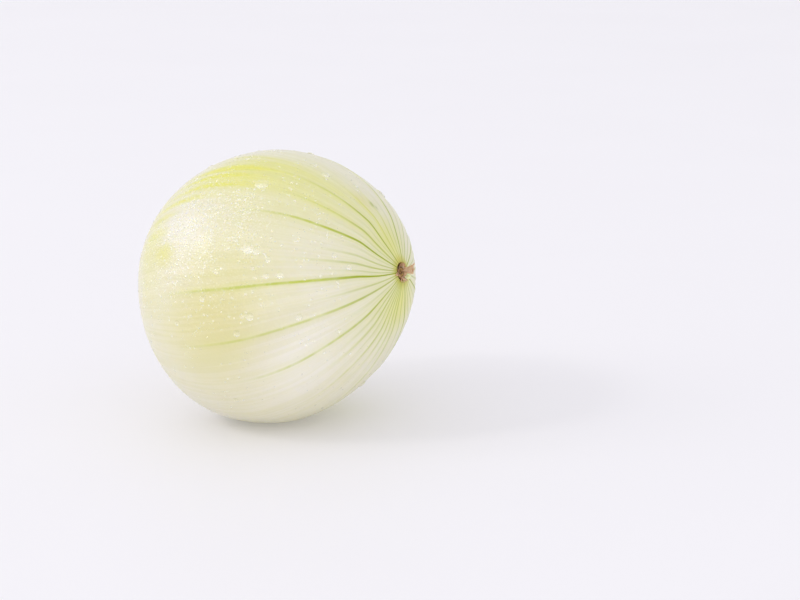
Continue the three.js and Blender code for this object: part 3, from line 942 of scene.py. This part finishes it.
def make_root_stumps(lay_down, cork):
    """Trimmed roots: short stumps with uneven tips, in a spiral that fills the plate evenly."""
    shape = bmesh.new()
    chance = random.Random(STUMP_CHANCES)
    for i in range(STUMP_COUNT):
        radius = STUMP_FIELD_RADIUS * math.sqrt((i + 0.5) / STUMP_COUNT)
        radius += chance.uniform(*STUMP_SPREAD)
        longitude = i * GOLDEN_ANGLE + chance.uniform(*STUMP_TURN_SPREAD)
        length = chance.uniform(*STUMP_LENGTHS)
        thick = chance.uniform(*STUMP_RADII)
        splay = radius / STUMP_FIELD_RADIUS * chance.uniform(*STUMP_SPLAYS)
        stump = bmesh.ops.create_cone(shape, cap_ends=True, segments=STUMP_SIDES, radius1=thick,
                                      radius2=thick * STUMP_TAPER, depth=1)["verts"]
        for vertex in stump:
            x, y, z = vertex.co
            down = z + 0.5
            uneven = STUMP_UNEVEN * chance.uniform(-1, 1)
            spot = Vector((x, y, STUMP_SUNK - (length + STUMP_SUNK + uneven) * down))
            spot.x += STUMP_CURVE * splay * down * down
            spot = Matrix.Rotation(-splay, 3, "Y") @ spot
            spot += Vector((radius, 0, plate_face(radius)))
            vertex.co = Matrix.Rotation(longitude, 3, "Z") @ spot
    bmesh.ops.recalc_face_normals(shape, faces=shape.faces)
    bmesh.ops.transform(shape, matrix=lay_down, verts=shape.verts)
    finished("root_stumps", shape, cork, "root_cork")


# Water

def bead_matrix(spot, normal, radius):
    """Stands a bead of radius 1 on the skin, with its y towards the way that water runs down."""
    side = normal.cross(Vector((0, 0, 1))).normalized()
    turn = Matrix((side, normal.cross(side), normal)).transposed().to_4x4()
    return Matrix.Translation(spot) @ turn @ Matrix.Scale(radius * MM, 4)


def beads(name, places, grid, material):
    """Lenses of water: domed, a little uneven, and with a shallow foot below the skin.

    One bead is doubled until there are enough, and then each copy is moved to its place."""
    shape = bmesh.new()
    number = shape.verts.layers.int.new("number")
    dome = shape.verts.layers.float_vector.new("dome")
    segments, rings = grid
    bmesh.ops.create_uvsphere(shape, u_segments=segments, v_segments=rings, radius=1)
    copies = 1
    while copies < len(places):
        made = bmesh.ops.duplicate(shape, geom=[*shape.verts, *shape.edges, *shape.faces])["geom"]
        for vertex in made:
            if isinstance(vertex, bmesh.types.BMVert):
                vertex[number] += copies
        copies *= 2
    spare = [vertex for vertex in shape.verts if vertex[number] >= len(places)]
    bmesh.ops.delete(shape, geom=spare, context="VERTS")
    for vertex in shape.verts:
        matrix, flatness, seed = places[vertex[number]]
        x, y, z = vertex[dome] = vertex.co.copy()
        spot = Vector((x * BEAD_LOBES, y * BEAD_LOBES, seed))
        outline = 1 + BEAD_UNEVEN * noise.noise(spot)
        tall = flatness if z > 0 else BEAD_FOOT * flatness
        sag = BEAD_SAG * max(z, 0)
        vertex.co = matrix @ Vector((x * outline, y * outline + sag, z * tall))
    shape.verts.layers.int.remove(number)
    finished(name, shape, material, "water")


def make_water(lay_down, surface, camera):
    """Beads where the camera's view has them, more of them on the far side, and fine mist."""
    chance = random.Random(WATER_CHANCES)
    turn = camera.rotation_euler.to_quaternion()
    per_pixel = camera.data.sensor_width / camera.data.lens / IMAGE_WIDTH

    def bead(spot, normal, radius):
        return (bead_matrix(spot, normal, radius), chance.uniform(*BEAD_FLATNESS),
                chance.uniform(*BEAD_SEEDS))

    big = []
    for x, y, radius in BEADS:
        right, up = (x - IMAGE_WIDTH / 2) * per_pixel, (IMAGE_HEIGHT / 2 - y) * per_pixel
        look = turn @ Vector((right, up, -1))
        spot, normal, _, _ = surface.ray_cast(camera.location, look.normalized())
        big.append(bead(spot, normal, radius))

    def on_bulb(degrees, z):
        """The skin's place and normal at a longitude and a height."""
        around = math.radians(degrees)
        start = lay_down @ Vector((0, 0, z))
        way = (lay_down @ Vector((math.cos(around), math.sin(around), z)) - start).normalized()
        spot, normal, _, _ = surface.ray_cast(start, way)
        return spot, normal

    for _ in range(FAR_BEAD_COUNT):
        degrees, z = chance.uniform(*FAR_BEAD_LONGITUDES), chance.uniform(*FAR_BEAD_HEIGHTS)
        spot, normal = on_bulb(degrees, z)
        place = bead(spot, normal, SMALLEST_FAR_BEAD + FAR_BEAD_RANGE * chance.random() ** 2)
        if spot.z > LOWEST_BEAD * MM:
            big.append(place)
    small = []
    while len(small) < MIST_COUNT:
        degrees, z = chance.uniform(0, 360), chance.uniform(*MIST_HEIGHTS)
        spot, normal = on_bulb(degrees, z)
        patchy = 0.5 + noise.noise(spot * MIST_PATCHES)
        radius = SMALLEST_MIST + MIST_RANGE * chance.random() ** 3
        place = (bead_matrix(spot, normal, radius), MIST_FLATNESS, chance.uniform(*BEAD_SEEDS))
        shown = chance.random() < wetness(degrees, z) * patchy * MIST_CHANCE
        if shown and spot.z > LOWEST_MIST * MM:
            small.append(place)
    beads("water_beads", big, BEAD_GRID, water("clear_water", 1.0, 0.92, 0.68))
    beads("water_mist", small, MIST_GRID, water("fine_water_mist", 0.27, 0.3, 0.0))


# Camera and light

def direction(azimuth, elevation):
    """The way from the onion towards a place that is seen at an azimuth and an elevation."""
    a, e = math.radians(azimuth), math.radians(elevation)
    return Vector((math.sin(a) * math.cos(e), -math.cos(a) * math.cos(e), math.sin(e)))


def make_camera(lay_down):
    """Looks slightly down at the onion's side, a little from its neck's end."""
    data = bpy.data.cameras.new("camera")
    data.lens = CAMERA_LENS
    data.sensor_width = SENSOR_WIDTH
    data.clip_start = NEAREST_SEEN
    camera = linked("camera", data)
    back = direction(CAMERA_AZIMUTH, CAMERA_ELEVATION)
    turn = back.to_track_quat("Z", "Y")
    right, up = turn @ Vector((1, 0, 0)), turn @ Vector((0, 1, 0))
    middle = lay_down @ Vector((0, 0, 0))
    target = middle - (right * BULB_RIGHT_OF_MIDDLE + up * BULB_ABOVE_MIDDLE) * MM
    camera.rotation_euler = turn.to_euler()
    camera.location = target + back * CAMERA_DISTANCE * MM
    bpy.context.scene.camera = camera
    return camera


def softbox(name, azimuth, elevation, size, watts, colour):
    """A rectangular soft light that looks at the onion."""
    data = bpy.data.lights.new(name, "AREA")
    data.shape = "RECTANGLE"
    data.size, data.size_y = size
    data.energy = watts
    data.color = linear(colour)[:3]
    light = linked(name, data)
    back = direction(CAMERA_AZIMUTH + azimuth, elevation)
    light.location = back * LIGHT_DISTANCE + Vector((0, 0, BULB_RADIUS * MM))
    light.rotation_euler = back.to_track_quat("Z", "Y").to_euler()


def make_studio():
    """A pale table, a room that is a little darker on the right, and the soft lights."""
    scene = bpy.context.scene
    scene.view_settings.view_transform = "Standard"
    world = bpy.data.worlds.new("studio")
    world.use_nodes = True
    tree = world.node_tree
    tree.nodes.clear()
    way = add(tree, "TexCoord").node.outputs["Generated"]
    from_right = add(tree, "VectorMath", {0: way, 1: direction(CAMERA_AZIMUTH + 90, 0)},
                     operation="DOT_PRODUCT")
    strength = add(tree, "MapRange", {
        "Value": from_right, "From Min": 0.1, "From Max": 0.95, "To Min": 0.95, "To Max": 0.8,
    }, interpolation_type="SMOOTHSTEP")
    sky = add(tree, "Background", {"Color": linear("fbfaff"), "Strength": strength})
    add(tree, "OutputWorld", {"Surface": sky})
    scene.world = world
    for light in LIGHTS:
        softbox(*light)
    shape = bmesh.new()
    bmesh.ops.create_grid(shape, x_segments=1, y_segments=1, size=TABLE_HALF_WIDTH)
    bmesh.ops.translate(shape, vec=(0, 0, -TABLE_BELOW_ONION), verts=shape.verts)
    linked("table", mesh_from("table", shape, white_painted_table()))


lay_down, surface = make_bulb()
camera = make_camera(lay_down)
paper = dry_onion_paper()
make_knot(lay_down)
make_leaf_ends(lay_down, paper)
make_stub(lay_down, paper)
make_green_end(lay_down)
cork = corky_root()
make_root_plate(lay_down, cork)
make_root_stumps(lay_down, cork)
make_water(lay_down, surface, camera)
make_studio()
